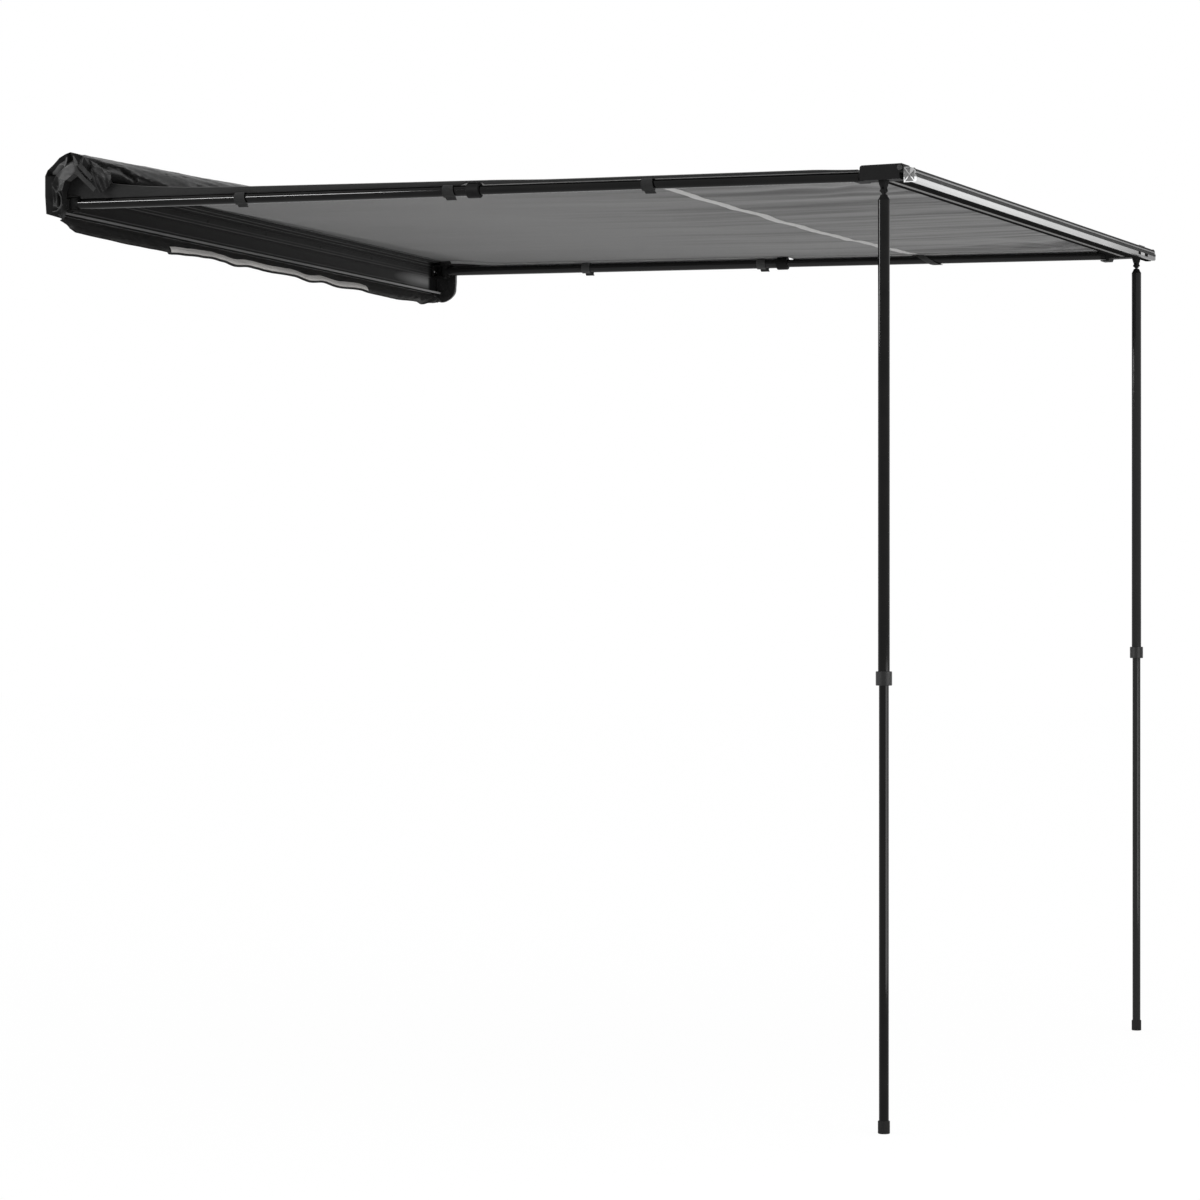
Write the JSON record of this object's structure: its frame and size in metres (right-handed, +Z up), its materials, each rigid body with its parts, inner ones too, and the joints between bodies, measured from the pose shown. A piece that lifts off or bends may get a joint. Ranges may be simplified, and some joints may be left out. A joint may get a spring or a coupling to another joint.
{
  "type": "vehicle side awning",
  "caption": "Straight pull-out shade awning for a vehicle roof rack: ribbed backplate with bag, telescoping arms, tilted lead rail and folding telescoping legs.",
  "frame": {"origin": "centre of the backplate's flat rear face, which bolts to the vehicle's rack", "axes": "+X along the vehicle towards the far leg, -Y away from the vehicle, +Z up; the rear face's normal is +Y"},
  "size_m": [2.0588, 2.1305, 2.1984],
  "materials": {
    "black_anodised": "black anodised extrusion, satin, fine lines along its length",
    "gloss_black_tube": "gloss black coated round tube",
    "clear_anodised": "clear anodised extrusion, satin silver",
    "black_plastic": "moulded black nylon, fine grain",
    "grey_plastic": "moulded dark grey nylon, satin",
    "black_rubber": "matt black rubber",
    "zinc_steel": "zinc plated steel",
    "grey_canvas": "mid-grey woven canvas, matt",
    "black_webbing": "black woven tape",
    "bag_cloth": "black coated cloth with a soft sheen",
    "pale_lining": "pale warm-grey cloth"
  },
  "bodies": {
    "mounting": {"backplate": "black_anodised", "near_end_cap": "black_plastic", "far_end_cap": "black_plastic", "near_arm_bracket": "black_anodised", "far_arm_bracket": "black_anodised", "near_arm_pin": "zinc_steel", "far_arm_pin": "zinc_steel", "near_bracket_bolt_a": "zinc_steel", "near_bracket_bolt_b": "zinc_steel", "far_bracket_bolt_a": "zinc_steel", "far_bracket_bolt_b": "zinc_steel", "bag_upper": "bag_cloth", "bag_lower_flap": "bag_cloth", "bag_lining_strip": "pale_lining", "bag_near_end": "bag_cloth", "bag_far_end": "bag_cloth", "bag_tie": "black_webbing", "canopy": "grey_canvas", "canopy_web_strip": "pale_lining", "near_canopy_hem": "black_webbing", "far_canopy_hem": "black_webbing", "near_arm_strap_1": "black_webbing", "near_arm_strap_2": "black_webbing", "near_arm_strap_3": "black_webbing", "far_arm_strap_1": "black_webbing", "far_arm_strap_2": "black_webbing", "far_arm_strap_3": "black_webbing"},
    "rail": {"lead_rail": "clear_anodised", "rail_inner_section": "black_anodised", "near_corner_block": "black_plastic", "far_corner_block": "black_plastic", "near_block_screw": "black_plastic", "far_block_screw": "black_plastic", "near_leg_yoke": "black_plastic", "far_leg_yoke": "black_plastic", "near_leg_pin": "zinc_steel", "far_leg_pin": "zinc_steel"},
    "near_arm_outer": {"near_arm_knuckle": "black_plastic", "near_arm_outer_tube": "gloss_black_tube"},
    "near_arm_collar": {"near_arm_lock_collar": "black_plastic"},
    "near_arm_inner": {"near_arm_inner_tube": "gloss_black_tube", "near_arm_tip": "black_plastic"},
    "far_arm_outer": {"far_arm_knuckle": "black_plastic", "far_arm_outer_tube": "gloss_black_tube"},
    "far_arm_collar": {"far_arm_lock_collar": "black_plastic"},
    "far_arm_inner": {"far_arm_inner_tube": "gloss_black_tube", "far_arm_tip": "black_plastic"},
    "near_leg_upper": {"near_leg_knuckle": "black_plastic", "near_leg_upper_tube": "gloss_black_tube"},
    "near_leg_collar": {"near_leg_lock_collar": "grey_plastic"},
    "near_leg_lower": {"near_leg_lower_tube": "gloss_black_tube", "near_leg_foot": "black_rubber"},
    "far_leg_upper": {"far_leg_knuckle": "black_plastic", "far_leg_upper_tube": "gloss_black_tube"},
    "far_leg_collar": {"far_leg_lock_collar": "grey_plastic"},
    "far_leg_lower": {"far_leg_lower_tube": "gloss_black_tube", "far_leg_foot": "black_rubber"}
  },
  "joints": [
    {"name": "rail_slide", "type": "slide", "parent": "mounting", "child": "rail", "axis": [0, 0.9998, 0.0223], "range_m": [0, 0.84], "deforming": ["canopy", "canopy_web_strip", "near_canopy_hem", "far_canopy_hem", "near_arm_strap_1", "near_arm_strap_2", "near_arm_strap_3", "far_arm_strap_1", "far_arm_strap_2", "far_arm_strap_3"]},
    {"name": "near_arm_swing", "type": "hinge", "parent": "mounting", "child": "near_arm_outer", "pos_m": [-0.985, -0.052, -0.027], "axis": [0, -0.0223, 0.9998], "range_deg": [0, 90]},
    {"name": "near_arm_slide", "type": "slide", "parent": "near_arm_outer", "child": "near_arm_inner", "axis": [0, 0.9998, 0.0223], "range_m": [0, 0.84]},
    {"name": "near_arm_lock", "type": "hinge", "parent": "near_arm_outer", "child": "near_arm_collar", "pos_m": [-0.985, -1.09174, -0.05015], "axis": [0, 0.9998, 0.0223], "range_deg": [0, 90]},
    {"name": "far_arm_swing", "type": "hinge", "parent": "mounting", "child": "far_arm_outer", "pos_m": [0.985, -0.052, 0.013], "axis": [0, 0.0223, -0.9998], "range_deg": [0, 90]},
    {"name": "far_arm_slide", "type": "slide", "parent": "far_arm_outer", "child": "far_arm_inner", "axis": [0, 0.9998, 0.0223], "range_m": [0, 0.84]},
    {"name": "far_arm_lock", "type": "hinge", "parent": "far_arm_outer", "child": "far_arm_collar", "pos_m": [0.985, -1.09174, -0.01015], "axis": [0, 0.9998, 0.0223], "range_deg": [0, 90]},
    {"name": "near_leg_fold", "type": "hinge", "parent": "rail", "child": "near_leg_upper", "pos_m": [-0.99927, -2.052, -0.10369], "axis": [0, -1, 0], "range_deg": [0, 91.28]},
    {"name": "near_leg_slide", "type": "slide", "parent": "near_leg_upper", "child": "near_leg_lower", "axis": [0, 0, 1], "range_m": [-0.078, 0.8]},
    {"name": "near_leg_lock", "type": "hinge", "parent": "near_leg_upper", "child": "near_leg_collar", "pos_m": [-0.99927, -2.052, -1.12869], "axis": [0, 0, 1], "range_deg": [0, 90]},
    {"name": "far_leg_fold", "type": "hinge", "parent": "rail", "child": "far_leg_upper", "pos_m": [1.00022, -2.084, -0.05869], "axis": [0, 1, 0], "range_deg": [0, 88.71]},
    {"name": "far_leg_slide", "type": "slide", "parent": "far_leg_upper", "child": "far_leg_lower", "axis": [0, 0, 1], "range_m": [-0.033, 0.845]},
    {"name": "far_leg_lock", "type": "hinge", "parent": "far_leg_upper", "child": "far_leg_collar", "pos_m": [1.00022, -2.084, -1.08369], "axis": [0, 0, 1], "range_deg": [0, 90]}
  ],
  "couplings": [
    {"joint": "near_arm_slide", "follows": "rail_slide", "ratio": 1},
    {"joint": "far_arm_slide", "follows": "rail_slide", "ratio": 1}
  ]
}
